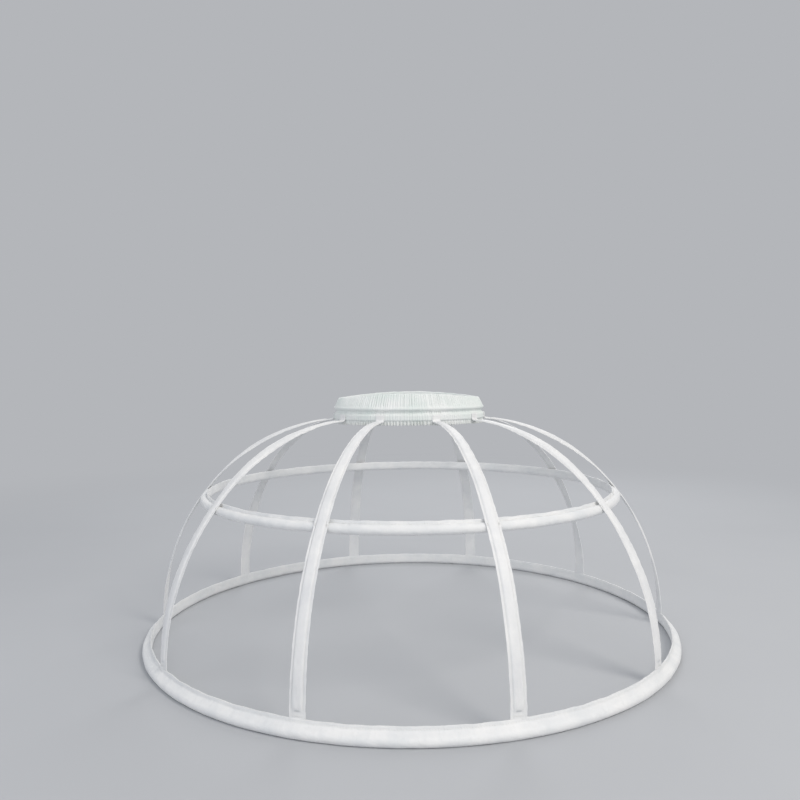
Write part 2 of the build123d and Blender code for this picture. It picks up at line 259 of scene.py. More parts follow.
def swept(name, rings, material, closed, flip=False):
    """Skin over a row of closed rings of points; closed joins the last ring to the first."""
    count = len(rings[0])
    total = len(rings)
    points = [p for ring in rings for p in ring]
    along = [0.0]
    for a, b in zip(rings, rings[1:] + rings[:1]):
        along.append(along[-1] + math.dist(a[0], b[0]))
    around = [0.0]
    for a, b in zip(rings[total // 2], rings[total // 2][1:] + rings[total // 2][:1]):
        around.append(around[-1] + math.dist(a, b))
    faces = []
    uvs = []
    for i in range(total if closed else total - 1):
        j = (i + 1) % total
        for k in range(count):
            m = (k + 1) % count
            quad = [(i, k, 0, 0), (i, m, 0, 1), (j, m, 1, 1), (j, k, 1, 0)]
            if flip:
                quad.reverse()
            faces.append([a * count + b for a, b, _, _ in quad])
            uvs += [(along[i + da], around[k + db]) for _, _, da, db in quad]
    if not closed:
        for i, turn in ((0, False), (total - 1, True)):
            cap = [i * count + k for k in range(count)]
            if turn == flip:
                cap.reverse()
            faces.append(cap)
            uvs += [(along[i], around[c % count]) for c in cap]
    return new_object(name, points, faces, material, uvs)


def lines_object(name, lines, material):
    """Edges only: one open chain of points for each line."""
    points = []
    edges = []
    for line in lines:
        first = len(points)
        points += line
        edges += [(first + i, first + i + 1) for i in range(len(line) - 1)]
    return new_object(name, points, [], material, edges=edges)


# Materials

def add(tree, kind, inputs=(), **values):
    """One shader or geometry node; inputs are (socket, value or output) pairs."""
    item = tree.nodes.new(kind)
    for key, value in values.items():
        setattr(item, key, value)
    for socket, value in inputs:
        if isinstance(value, bpy.types.NodeSocket):
            tree.links.new(value, item.inputs[socket])
        else:
            item.inputs[socket].default_value = value
    return item


def start_material(name, roughness, sheen=0.0):
    """Material with its node tree and its shader; the sheen is the soft edge light of cloth."""
    material = bpy.data.materials.new(name)
    material.use_nodes = True
    tree = material.node_tree
    shader = tree.nodes["Principled BSDF"]
    shader.inputs["Roughness"].default_value = roughness
    shader.inputs["Sheen Weight"].default_value = sheen
    shader.inputs["Sheen Roughness"].default_value = 0.45
    shader.inputs["Specular IOR Level"].default_value = 0.3
    return material, tree, shader


def mottled(tree, base, shade, size_mm, vector, low=0.35, high=0.7):
    """Colour that drifts softly between two tones over a distance in mm."""
    cloud = add(tree, "ShaderNodeTexNoise", [("Vector", vector), ("Scale", 1 / (size_mm * MM)),
                                             ("Detail", 4.0), ("Roughness", 0.6)])
    mix = add(tree, "ShaderNodeMapRange", [("Value", cloud.outputs["Fac"]), ("From Min", low),
                                           ("From Max", high)])
    tone = add(tree, "ShaderNodeMix", [("Factor", mix.outputs["Result"]), ("A", linear(base)),
                                       ("B", linear(shade))], data_type="RGBA")
    # the Mix node has an output of the same name for each of its types
    return [s for s in tone.outputs if s.type == "RGBA"][0]


def woven(name, base, shade, pitch_mm, depth_mm, roughness, sheen, creases_mm=0.0, use_uv=True,
          twill=False, lengthwise=False):
    """Cloth with a weave or twill and fine fuzz; creases are soft, and lengthwise draws them out."""
    material, tree, shader = start_material(name, roughness, sheen)
    place = add(tree, "ShaderNodeTexCoord")
    where = place.outputs["Object"]
    if use_uv:
        where_uv = add(tree, "ShaderNodeUVMap", uv_map="mm").outputs["UV"]
    else:
        where_uv = where
    scale = 2 * math.pi / (pitch_mm * MM)
    split = add(tree, "ShaderNodeSeparateXYZ", [("Vector", where_uv)])
    warp = add(tree, "ShaderNodeMath", [(0, split.outputs["X"]), (1, scale)], operation="MULTIPLY")
    weft = add(tree, "ShaderNodeMath", [(0, split.outputs["Y" if use_uv else "Z"]), (1, scale)],
               operation="MULTIPLY")
    if twill:
        both = add(tree, "ShaderNodeMath", [(0, warp.outputs[0]), (1, weft.outputs[0])], operation="ADD")
        weave = add(tree, "ShaderNodeMath", [(0, both.outputs[0])], operation="SINE")
    else:
        sine_a = add(tree, "ShaderNodeMath", [(0, warp.outputs[0])], operation="SINE")
        sine_b = add(tree, "ShaderNodeMath", [(0, weft.outputs[0])], operation="SINE")
        weave = add(tree, "ShaderNodeMath", [(0, sine_a.outputs[0]), (1, sine_b.outputs[0])],
                    operation="MULTIPLY")
    fuzz = add(tree, "ShaderNodeTexNoise", [("Vector", where), ("Scale", 1 / (0.5 * MM)), ("Detail", 3.0)])
    height = add(tree, "ShaderNodeMath", [(0, weave.outputs[0]), (1, 0.5), (2, fuzz.outputs["Fac"])],
                 operation="MULTIPLY_ADD")
    bump = add(tree, "ShaderNodeBump", [("Strength", 0.6), ("Distance", depth_mm * MM),
                                        ("Height", height.outputs[0])])
    last = bump.outputs["Normal"]
    if creases_mm:
        drawn = where
        if lengthwise:
            drawn = add(tree, "ShaderNodeVectorMath", [(0, where_uv), (1, (0.4, 1.6, 1.0))],
                        operation="MULTIPLY").outputs[0]
        crease = add(tree, "ShaderNodeTexNoise", [("Vector", drawn), ("Scale", 1 / (creases_mm * MM)),
                                                  ("Detail", 4.0), ("Distortion", 0.6)])
        soft = add(tree, "ShaderNodeBump", [("Strength", 0.8), ("Distance", 0.9 * MM),
                                            ("Height", crease.outputs["Fac"]), ("Normal", last)])
        last = soft.outputs["Normal"]
    tree.links.new(last, shader.inputs["Normal"])
    tree.links.new(mottled(tree, base, shade, 34.0, where), shader.inputs["Base Color"])
    return material


def plastic(name, base, shade, roughness, grain_mm):
    """Moulded plastic with a fine draw grain."""
    material, tree, shader = start_material(name, roughness)
    where = add(tree, "ShaderNodeTexCoord").outputs["Object"]
    grain = add(tree, "ShaderNodeTexNoise", [("Vector", where), ("Scale", 1 / (grain_mm * MM)),
                                             ("Detail", 3.0)])
    bump = add(tree, "ShaderNodeBump", [("Strength", 0.3), ("Distance", 0.05 * MM),
                                        ("Height", grain.outputs["Fac"])])
    tree.links.new(bump.outputs["Normal"], shader.inputs["Normal"])
    tree.links.new(mottled(tree, base, shade, 60.0, where), shader.inputs["Base Color"])
    return material


# gathered cotton of the waistband, a matt and faintly cool white
GATHERED = woven("gathered_cotton", "#EDEFED", "#E0E8E4", 0.42, 0.06, 0.78, 0.25)
# satin-faced cotton of the rib channels, with a soft sheen and creases drawn out along the tape
TAPE = woven("rib_tape", "#F0F0EF", "#E4E5E6", 0.50, 0.05, 0.52, 0.30, creases_mm=9.0, twill=True,
             lengthwise=True)
# the same cloth as tubes over the hoops, more creased
SLEEVE = woven("hoop_cotton", "#F0F0EF", "#E3E5E6", 0.50, 0.05, 0.55, 0.30, creases_mm=8.0, twill=True)
# cotton of the frill, the roughest of the cloths, so that it stays matt
EDGING = woven("frill_edging", "#EEF0EE", "#DDE2DE", 0.55, 0.10, 0.85, 0.30)
# twisted polyester sewing thread, a little brighter and glossier than the cloth
THREAD = woven("thread", "#F2F2F0", "#E6E6E4", 0.30, 0.04, 0.45, 0.10, use_uv=False, twill=True)
# knitted elastic inside the casing, coarse and greyish
ELASTIC = woven("elastic", "#E4E4E0", "#D8D8D4", 0.90, 0.12, 0.80, 0.15, use_uv=False)
# nylon boning, opaque white with half a gloss
BONING = plastic("boning", "#E8EAEA", "#DDE0E0", 0.42, 0.8)
# extruded plastic tube inside the hoops, faintly cool and the smoothest of the materials
TUBE = plastic("hoop_tube", "#DDE3E4", "#D2DADC", 0.30, 1.2)
# moulded plug in the tube's ends, a warmer and duller plastic
PLUG = plastic("hoop_plug", "#D8D6D0", "#CBC9C2", 0.45, 0.9)


# Stitches: an elongated bead of thread at every pitch along a line

def stitch_tree():
    """Node group that lays beads of thread along every edge line it is given."""
    tree = bpy.data.node_groups.new("stitches", "GeometryNodeTree")
    face = tree.interface
    face.new_socket(name="Geometry", in_out="INPUT", socket_type="NodeSocketGeometry")
    for label, value in (("Pitch", STITCH_PITCH * MM), ("Length", STITCH_LENGTH * MM),
                         ("Radius", STITCH_R * MM), ("Uneven", 0.15)):
        face.new_socket(name=label, in_out="INPUT", socket_type="NodeSocketFloat").default_value = value
    face.new_socket(name="Seed", in_out="INPUT", socket_type="NodeSocketInt").default_value = 3
    face.new_socket(name="Thread", in_out="INPUT", socket_type="NodeSocketMaterial")
    face.new_socket(name="Geometry", in_out="OUTPUT", socket_type="NodeSocketGeometry")
    source = add(tree, "NodeGroupInput").outputs
    curve = add(tree, "GeometryNodeMeshToCurve", [("Mesh", source["Geometry"])])
    points = add(tree, "GeometryNodeResampleCurve", [
        ("Curve", curve.outputs[0]), ("Length", source["Pitch"])], mode="LENGTH")
    tangent = add(tree, "GeometryNodeInputTangent")
    turn = add(tree, "FunctionNodeAlignRotationToVector", [("Vector", tangent.outputs[0])], axis="Z")
    half = add(tree, "ShaderNodeMath", [(0, source["Length"]), (1, 0.5)], operation="MULTIPLY")
    size = add(tree, "ShaderNodeCombineXYZ", [("X", source["Radius"]), ("Y", source["Radius"]),
                                              ("Z", half.outputs[0])])
    low = add(tree, "ShaderNodeMath", [(0, 1.0), (1, source["Uneven"])], operation="SUBTRACT")
    high = add(tree, "ShaderNodeMath", [(0, 1.0), (1, source["Uneven"])], operation="ADD")
    vary = add(tree, "FunctionNodeRandomValue", [("Seed", source["Seed"])], data_type="FLOAT")
    floats = [s for s in vary.inputs if s.type == "VALUE"]
    tree.links.new(low.outputs[0], floats[0])
    tree.links.new(high.outputs[0], floats[1])
    amount = [s for s in vary.outputs if s.type == "VALUE"][0]
    scale = add(tree, "ShaderNodeVectorMath", [(0, size.outputs[0]), ("Scale", amount)], operation="SCALE")
    bead = add(tree, "GeometryNodeMeshUVSphere", [("Segments", 5), ("Rings", 4), ("Radius", 1.0)])
    copies = add(tree, "GeometryNodeInstanceOnPoints", [
        ("Points", points.outputs[0]), ("Instance", bead.outputs[0]),
        ("Rotation", turn.outputs[0]), ("Scale", scale.outputs[0])])
    real = add(tree, "GeometryNodeRealizeInstances", [("Geometry", copies.outputs[0])])
    shade = add(tree, "GeometryNodeSetShadeSmooth", [("Geometry", real.outputs[0])])
    done = add(tree, "GeometryNodeSetMaterial", [
        ("Geometry", shade.outputs[0]), ("Material", source["Thread"])])
    add(tree, "NodeGroupOutput", [("Geometry", done.outputs[0])])
    return tree


STITCHES = stitch_tree()


def sew(name, lines, seed, **sizes):
    """Rows of stitches along lines of points, as a plain mesh; sizes are in mm, Uneven is a share."""
    base = lines_object(name + "_line", lines, THREAD)
    modifier = base.modifiers.new("stitches", "NODES")
    modifier.node_group = STITCHES
    sockets = {item.name: item.identifier for item in STITCHES.interface.items_tree
               if item.in_out == "INPUT"}
    modifier[sockets["Seed"]] = seed
    modifier[sockets["Thread"]] = THREAD
    for label, value in sizes.items():
        modifier[sockets[label]] = value * MM if label != "Uneven" else value
    base.data.update()
    graph = bpy.context.evaluated_depsgraph_get()
    mesh = bpy.data.meshes.new_from_object(base.evaluated_get(graph), depsgraph=graph)
    base.modifiers.remove(modifier)
    bpy.data.objects.remove(base)
    mesh.name = name
    obj = bpy.data.objects.new(name, mesh)
    bpy.context.scene.collection.objects.link(obj)
    return obj


def finish_piece(obj, slot, *nodes):
    """Tie a piece to the body and hide the nodes that it stands for; the slot is not used."""
    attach(obj, "root")
    if nodes:
        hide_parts(*nodes)


# Ribs

# shares of the half width where a rib's cover side has its points
ACROSS = [-1.0, -0.97, -0.90, -0.82, -0.74, -0.66, -0.60, -0.52, -0.40, -0.22, 0.0,
          0.22, 0.40, 0.52, 0.60, 0.66, 0.74, 0.82, 0.90, 0.97, 1.0]
# twist in degrees of the upper and the lower span, rib by rib, as the real tapes hang
TWISTS = [(-2, 3), (-18, -5), (-22, -13), (4, -24), (-7, 5),
          (6, -7), (-10, -9), (21, 14), (18, 2), (3, -4)]
# outline of a bone, with its corners taken off
BONE_SIDES = [(-3.0, 1.1), (-2.7, 1.4), (2.7, 1.4), (3.0, 1.1),
              (3.0, 0.3), (2.7, 0.0), (-2.7, 0.0), (-3.0, 0.3)]
# distance of a bone's end from where the raised middle starts or stops
BONE_END = 0.9


def loose_share(rib, length):
    """1 where the tape hangs free, 0 where it is sewn down at its ends."""
    return smooth(rib.ends[2], rib.ends[2] + 12, length) * (1 - smooth(rib.ends[5] - 10, rib.ends[5], length))


def hang(rib, seed, length, side, height):
    """Point of a rib that twists and wanders a little, as loose tape does."""
    upper = math.sin(math.pi * smooth(rib.ends[2], rib.cross, length))
    lower = math.sin(math.pi * smooth(rib.cross, rib.ends[5], length))
    twist = math.radians(TWISTS[seed][0] * upper + TWISTS[seed][1] * lower)
    side += 0.5 * ripple(length / 70, seed * 7.3) * loose_share(rib, length)
    return rib.place(length, side * math.cos(twist) - height * math.sin(twist),
                     side * math.sin(twist) + height * math.cos(twist))


def rib_section(rib, length, seed):
    """Ring of points round a rib at a length: cover side first, then the flat inner side."""
    width, raised = rib.widths(length)
    ends = rib.ends
    rise = smooth(ends[2] + RAISE_START - 3, ends[2] + RAISE_START + 6, length)
    rise *= 1 - smooth(ends[5] - RAISE_STOP - 6, ends[5] - RAISE_STOP + 1, length)
    flat = 1 - smooth(ends[2], ends[2] + 10, length)
    loose = loose_share(rib, length)
    half = width / 2
    bone = raised / 2
    seam = bone + SEAM_GAP
    top = []
    for share in ACROSS:
        edge = math.copysign(1, share)
        side = share * half
        gap = abs(side)
        wave = loose * (0.36 * ripple(length / 7, edge * 3.1 + seed, 2.0)
                        + 0.34 * ripple(length / 21, edge * 5.7 + seed, 5.0))
        height = RIB_PLIES / 2 - 0.10
        if gap < bone:
            crown = (1 - (gap / bone) ** 4) ** 0.45
            height += rise * (RAISED_TOP - RIB_PLIES / 2) * crown
            height += 0.16 * rise * ripple(length / 16, share * 1.5, seed)
        else:
            height -= 0.38 * math.exp(-((gap - seam) / 0.55) ** 2)
            height += wave * smooth(seam, half, gap)
        if abs(share) == 1.0:
            height = 0.05 + wave
        side += edge * 0.30 * loose * ripple(length / 11, edge * 9.0 + seed) * smooth(seam, half, gap)
        top.append((side, height, abs(share)))
    under = []
    for side, height, share in reversed(top[1:-1]):
        lift = 0.0 if share * half < seam else (height - RIB_PLIES / 2 + 0.10)
        low = -RIB_PLIES / 2 + 0.12 + lift * 0.9
        low += 0.22 * math.exp(-((share * half - seam) / 0.6) ** 2)
        low -= flat * (0.25 + side * side / 210)
        if share > 0.96:
            low += 0.25
        under.append((side, low))
    return [hang(rib, seed, length, side, height) for side, height in [(s, h) for s, h, _ in top] + under]


def build_rib(number, rib, seed):
    """Cover and bone of one rib; returns the lines of its two seams, outside and inside."""
    lengths = []
    position = 0.0
    while position < rib.ends[-1]:
        lengths.append(position)
        step = 1.2 if position < rib.ends[2] + 16 or position > rib.ends[5] - 12 else 2.2
        position += step
    lengths.append(rib.ends[-1])
    rings = [rib_section(rib, length, seed) for length in lengths]
    piece = swept(f"rib_{number:02d}", rings, TAPE, False)
    finish_piece(piece, "rib_tape", f"rib_cover_{number:02d}")
    first = rib.ends[2] + RAISE_START + BONE_END
    last = rib.ends[5] - RAISE_STOP - BONE_END
    steps = int((last - first) / 4)
    rings = [[hang(rib, seed, first + (last - first) * i / steps, side, height)
              for side, height in BONE_SIDES]
             for i in range(steps + 1)]
    bone = swept(f"bone_{number:02d}", rings, BONING, False)
    finish_piece(bone, "boning", f"rib_bone_{number:02d}")
    lines = []
    for edge in (-1, 1):
        for face in (1, -1):
            line = []
            first = rib.ends[2] + 4
            last = rib.ends[5] - 1
            steps = int((last - first) / 2.5)
            for i in range(steps + 1):
                length = first + (last - first) * i / steps
                raised = rib.widths(length)[1]
                height = (RIB_PLIES / 2 - 0.30) if face > 0 else (-RIB_PLIES / 2 + 0.16)
                line.append(hang(rib, seed, length, edge * (raised / 2 + SEAM_GAP), height))
            lines.append(line)
    return lines


# right front to back, then left back to front
pairs = list(zip(WAIST_ANGLES, HEM_ANGLES))
ribs = [Rib(waist, hem) for waist, hem in pairs] + [Rib(-waist, -hem) for waist, hem in reversed(pairs)]

rib_lines = []
for index, rib in enumerate(ribs):
    rib_lines += build_rib(index + 1, rib, index)
rib_seams = sew("rib_seam_stitches", rib_lines, 11)
finish_piece(rib_seams, "thread")


# Hoops

def hoop_outline(tube_r, centre_z, sleeve_r, top_z):
    """Points round the sleeve and its flange, as (radius, height, share of flange), and the angle
    where the slope under the flange touches the sleeve."""
    inner = tube_r - sleeve_r
    outer = inner + FLANGE_T
    shoulder = top_z - FLANGE_SHOW
    reach = math.dist((outer, shoulder), (tube_r, centre_z))
    touch = math.atan2(shoulder - centre_z, outer - tube_r) - math.acos(sleeve_r / reach)
    points = []
    rows = 5
    for i in range(rows):
        share = i / (rows - 1)
        points.append((inner + 0.5 * share ** 3, centre_z + (top_z - 0.5 - centre_z) * share, share))
    middle = (inner + outer) / 2
    points += [(middle - 0.62, top_z - 0.02, 1.0), (middle, top_z - 0.55, 1.0),
               (middle + 0.62, top_z - 0.02, 1.0), (outer - 0.35, top_z - 0.5, 1.0),
               (outer - 0.25, top_z - 2.0, 0.9), (outer - 0.20, shoulder + 0.9, 0.7),
               (outer + 0.10, shoulder + 0.1, 0.45)]
    hip = (tube_r + sleeve_r * math.cos(touch), centre_z + sleeve_r * math.sin(touch))
    for share in (0.3, 0.65):
        points.append((outer + (hip[0] - outer) * share, shoulder + (hip[1] - shoulder) * share + 0.2,
                       0.35 * (1 - share)))
    turns = 20
    for i in range(turns):
        angle = touch - (touch + math.pi) * i / turns
        points.append((tube_r + sleeve_r * math.cos(angle), centre_z + sleeve_r * math.sin(angle), 0.0))
    return points, touch


def build_hoop(name, tube_r, centre_z, sleeve_r, top_z, steps, seed, rests):
    """Puckered sleeve round a hoop with its seam; one that rests on the floor stays above it."""
    outline, touch = hoop_outline(tube_r, centre_z, sleeve_r, top_z)
    inner = tube_r - sleeve_r
    rings = []
    seam = []
    for i in range(steps):
        angle = 2 * math.pi * i / steps
        cx = math.sin(angle)
        cy = math.cos(angle)
        # noise sampled on a circle, so that the end meets the start; a larger circle gives finer waves
        lump = ripple(cx * 9.0, cy * 9.0, seed)
        sway = ripple(cx * 13.0, cy * 13.0, seed + 9.1)
        rise = ripple(cx * 21.0, cy * 21.0, seed + 4.2)
        pucker = ripple(cx * 70.0, cy * 70.0, seed + 2.7)
        fine = ripple(cx * 150.0, cy * 150.0, seed + 6.4)
        ring = []
        for r, z, flange in outline:
            if flange > 0:
                height = (z - centre_z) / (top_z - centre_z)
                r += flange * (0.60 * sway + 0.25 * fine) * height
                z += flange * 0.50 * rise * height
                if r > inner + 0.8 and flange < 0.5:
                    r += 0.30 * pucker
                    z += 0.18 * fine
            else:
                turn = math.atan2(z - centre_z, r - tube_r)
                down = max(0.0, math.cos((turn - touch) * 0.9)) ** 3
                grow = 0.30 * lump + 0.42 * pucker * down + 0.16 * fine * down
                grow += 0.13 * ripple(cx * 33.0 + turn * 0.7, cy * 33.0, seed + turn)
                r += grow * math.cos(turn)
                z += grow * math.sin(turn)
            if rests:
                z = max(z, 0.02)
            ring.append((r * cx, -r * cy, z))
        rings.append(ring)
        if i % 2 == 0:
            sway_r = 0.75 * (0.60 * sway + 0.25 * fine) * 0.8
            seam.append((cx, -cy, sway_r, 0.35 * rise))
    piece = swept(name, rings, SLEEVE, True)
    finish_piece(piece, "hoop_cotton", name + "_cover")
    lines = []
    height = top_z - FLANGE_SHOW + 1.1
    for radius in (inner + FLANGE_T - 0.10, inner + 0.12):
        line = [((radius + s) * x, (radius + s) * y, height + z) for x, y, s, z in seam]
        lines.append(line + line[:1])
    stitches = sew(name + "_stitches", lines, seed)
    finish_piece(stitches, "thread")


build_hoop("hem_hoop", HEM_TUBE_R, HEM_CENTRE_Z, HEM_SLEEVE_R, HEM_HEIGHT, HEM_STEPS, 5, True)
build_hoop("upper_hoop", UPPER_TUBE_R, UPPER_CENTRE_Z, UPPER_SLEEVE_R, UPPER_TOP, UPPER_STEPS, 8, False)


# Tacks: short threads laid over the tape where it is sewn down

def bar_lines(rib, length, side, width, threads, gap):
    """Threads side by side across a rib, each bowed over the tape and sunk at its ends."""
    lines = []
    for i in range(threads):
        across = (i - (threads - 1) / 2) * gap
        line = []
        for j in range(9):
            share = j / 8
            lift = 0.62 * math.sin(math.pi * share) ** 0.5 - 0.18
            slant = 0.5 * (share - 0.5) * (-1) ** i
            line.append(rib.place(length + across + slant, side + (share - 0.5) * width,
                                  RIB_PLIES / 2 - 0.25 + lift))
        lines.append(line)
    return lines


waist_bars = []
cross_bars = []
hem_bars = []
for rib in ribs:
    waist_bars += bar_lines(rib, rib.ends[1] * 0.30, 0.0, 10.0, 1, 0.5)
    waist_bars += bar_lines(rib, rib.ends[1] * 0.75, 0.0, 10.0, 1, 0.5)
    width, raised = rib.widths(rib.cross)
    for way in (-1, 1):
        cross_bars += bar_lines(rib, rib.cross, way * (width + raised) / 4, 2.6, 4, 0.75)
    hem_bars += bar_lines(rib, rib.ends[5] - HEM_TACK_UP, 0.0, 16.0, 2, 0.7)
for name, lines, node, seed, pitch, length in (
        ("waist_tack_threads", waist_bars, "waist_tacks", 21, 1.9, 1.75),
        ("crossing_tack_threads", cross_bars, "upper_hoop_tacks", 22, 0.5, 0.9),
        ("hem_tack_threads", hem_bars, "hem_hoop_tacks", 23, 1.9, 1.75)):
    piece = sew(name, lines, seed, Pitch=pitch, Length=length, Radius=0.27, Uneven=0.08)
    finish_piece(piece, "thread", node)


# Waistband

def oval_point(half, angle):
    """Point of the waist's oval whose half width is given; it is less deep than wide."""
    return (half * math.sin(angle), -(half - BAND_OVAL) * math.cos(angle))


def fold(angle, height, count, seed):
    """0 on a crest and 1 in a valley, with crests that wander and differ."""
    wander = 0.9 * math.sin(5 * angle) + 0.7 * math.sin(11 * angle + 1.0)
    wander += 1.3 * ripple(math.sin(angle) * 9, math.cos(angle) * 9, seed)
    wander += 1.5 * ripple(math.sin(angle) * 27, math.cos(angle) * 27, seed + 5.0)
    wander += 0.35 * ripple(math.sin(angle) * 22, math.cos(angle) * 22, height / 7)
    valley = 0.5 - 0.5 * math.cos(count * angle + wander)
    strength = 0.74 + 0.42 * ripple(math.sin(angle) * 30, math.cos(angle) * 30, seed + 3.0)
    return strength * valley ** 2.2


# outer side of the band from below: height, half width, fold depth
BAND_OUTSIDE = [
    (LOWER_Z + 0.0, LOWER_HALF - 0.7, 0.4), (LOWER_Z + 0.3, LOWER_HALF - 0.1, 0.5),
    (LOWER_Z + 2.0, LOWER_HALF + 0.1, 0.6), (LOWER_Z + 4.0, LOWER_HALF - 0.15, 0.8),
    (LOWER_Z + 6.0, LOWER_HALF + 0.1, 1.0), (LOWER_Z + 7.8, LOWER_HALF - 0.2, 1.3),
    (NECK_Z + 0.2, LOWER_HALF - 1.0, 1.5), (NECK_Z + 1.3, NECK_HALF + 0.8, 1.6),
    (NECK_Z + 2.6, NECK_HALF, 1.5), (RIDGE_Z - 1.6, NECK_HALF - 0.1, 1.5),
    (RIDGE_Z - 0.3, NECK_HALF + 0.9, 1.3), (RIDGE_Z + 0.5, RIDGE_HALF - 1.3, 0.8),
    (RIDGE_Z + 1.5, RIDGE_HALF - 0.4, 0.5), (RIDGE_Z + 2.8, RIDGE_HALF, 0.45),
    (RIDGE_Z + 4.0, RIDGE_HALF - 0.5, 0.55), (RIDGE_Z + 5.0, RIDGE_HALF - 1.4, 0.8),
    (GATHER_Z + 0.4, GATHER_HALF - 0.4, 1.1)]
band_rows = 12
for i in range(1, band_rows + 1):
    share = i / band_rows
    z = GATHER_Z + 0.4 + (TOP_Z - 1.3 - GATHER_Z - 0.4) * share
    half = GATHER_HALF + (TOP_HALF - GATHER_HALF) * (z - GATHER_Z) / (TOP_Z - GATHER_Z)
    BAND_OUTSIDE.append((z, half + 0.15 * math.sin(math.pi * share), FOLD_DEPTH - 0.5 * share ** 3))
# top fold, then the lining down to the lower edge
BAND_TOP = [(TOP_Z - 0.5, TOP_HALF - 0.15, 0.6), (TOP_Z - 0.05, TOP_HALF - 1.0, 0.4),
            (TOP_Z - 0.05, TOP_HALF - 2.4, 0.3), (TOP_Z - 0.6, TOP_HALF - 3.4, 0.25)]
lining = BAND_WALL + 1.1
BAND_INSIDE = [(TOP_Z - 2.0, TOP_HALF - lining + 0.5, 0.25), (TOP_Z - 8.0, TOP_HALF - lining + 4.0, 0.25),
               (GATHER_Z + 5.0, GATHER_HALF - lining - 2.4, 0.25), (GATHER_Z, GATHER_HALF - lining, 0.2),
               (RIDGE_Z + 1.0, NECK_HALF - NECK_WALL, 0.2), (NECK_Z + 1.5, NECK_HALF - NECK_WALL, 0.2),
               (NECK_Z, LOWER_HALF - BAND_WALL, 0.2), (LOWER_Z + 4.0, LOWER_HALF - BAND_WALL, 0.2),
               (LOWER_Z + 0.4, LOWER_HALF - BAND_WALL, 0.2)]


def near_rib(angle):
    """1 at a rib's place on the waistband, 0 away from it."""
    mean_radius = 105
    best = 0.0
    for rib in ribs:
        gap = abs((angle - rib.angle + math.pi) % (2 * math.pi) - math.pi) * mean_radius
        best = max(best, 1 - smooth(7.0, 10.0, gap))
    return best


def build_band():
    """Gathered band with its lining, swept round the waist; its top dips at the sides."""
    rows = BAND_OUTSIDE + BAND_TOP + BAND_INSIDE
    rings = []
    for i in range(BAND_STEPS):
        angle = 2 * math.pi * i / BAND_STEPS
        calm = near_rib(angle)
        sag = TOP_DIP * math.sin(angle) ** 2
        edge = 0.35 * ripple(math.sin(angle) * 12, math.cos(angle) * 12, 4.4)
        ring = []
        for k, (z, half, depth) in enumerate(rows):
            share = smooth(GATHER_Z, TOP_Z, z)
            lean = (GATHER_HALF - TOP_HALF) / (TOP_Z - GATHER_Z) * sag * share
            valley = fold(angle, z, BAND_FOLDS, 1.0)
            inside = k >= len(BAND_OUTSIDE) + len(BAND_TOP)
            if z < NECK_Z and not inside:
                depth = depth * (1 - 0.8 * calm)
                half = half - 0.12 * calm
            swing = depth * valley * (1 if not inside else -0.3)
            x, y = oval_point(half + lean - swing, angle)
            ring.append((x, y, z - sag * share + edge * share))
        rings.append(ring)
    piece = swept("waistband", rings, GATHERED, True, flip=True)
    finish_piece(piece, "gathered_cotton", "waistband_casing")


build_band()


def frill_swing(angle, low):
    """Sideways swing of the ruffle; low is 0 at the seam and 1 at the free edge."""
    wander = 1.1 * ripple(math.sin(angle) * 14, math.cos(angle) * 14, 6.6)
    wander += 1.1 * low * ripple(math.sin(angle) * 40, math.cos(angle) * 40, 1.2)
    wave = math.cos(TUFTS * angle + wander)
    size = 0.5 + 1.45 * low
    size *= 0.85 + 0.3 * ripple(math.sin(angle) * 60, math.cos(angle) * 60, 2.2)
    return wave * size * (1 - 0.55 * near_rib(angle))


def frill_foot(angle, hem):
    """Height of the free edge, which draws up where the ruffle swings in."""
    return FRILL_Z + 0.4 + 0.4 * hem + 0.85 * max(0.0, -frill_swing(angle, 1.0))


def build_frill():
    """Ruffled strip below the band; returns its free edge as (angle, height) points."""
    steps = TUFTS * STEPS_PER_TUFT
    rings = []
    edge_line = []
    rows = 7
    for i in range(steps):
        angle = 2 * math.pi * i / steps
        foot = frill_foot(angle, 0.7 * ripple(math.sin(angle) * 75, math.cos(angle) * 75, 8.0))
        ring = []
        for face in (1, -1):
            order = range(rows) if face > 0 else range(rows - 1, -1, -1)
            for k in order:
                low = k / (rows - 1)
                z = LOWER_Z + 0.8 - (LOWER_Z + 0.8 - foot) * low
                half = LOWER_HALF - FRILL_INSET + frill_swing(angle, low) + face * (0.42 + 0.15 * low ** 3)
                x, y = oval_point(half, angle)
                ring.append((x, y, z))
        rings.append(ring)
        edge_line.append((angle, foot))
    piece = swept("frill", rings, EDGING, True)
    finish_piece(piece, "frill_edging", "waist_frill")
    return edge_line


edge_line = build_frill()


def overlock_lines():
    """Loops of thread thrown over the free edge of the frill, from face to face."""
    rng = random.Random(17)
    lines = []
    for i in range(OVERLOCK_LOOPS):
        angle, z = edge_line[int(i * len(edge_line) / OVERLOCK_LOOPS)]
        slant = rng.uniform(0.4, 1.0) * 0.011
        tall = rng.uniform(2.6, 3.6)
        line = []
        for face, rows in ((1, (1.0, 0.66, 0.33, 0.0)), (-1, (0.0, 0.33, 0.66, 1.0))):
            for share in rows:
                drift = angle + face * slant * share
                bulge = 0.80 if share else 0.45
                swing = frill_swing(drift, 1 - 0.4 * share)
                x, y = oval_point(LOWER_HALF - FRILL_INSET + swing + face * bulge, drift)
                line.append((x, y, z - 0.28 + tall * share))
        lines.append(line)
    return lines


overlock = sew("overlock_thread", overlock_lines(), 31, Pitch=0.75, Length=1.25, Radius=0.22, Uneven=0.12)
finish_piece(overlock, "thread")

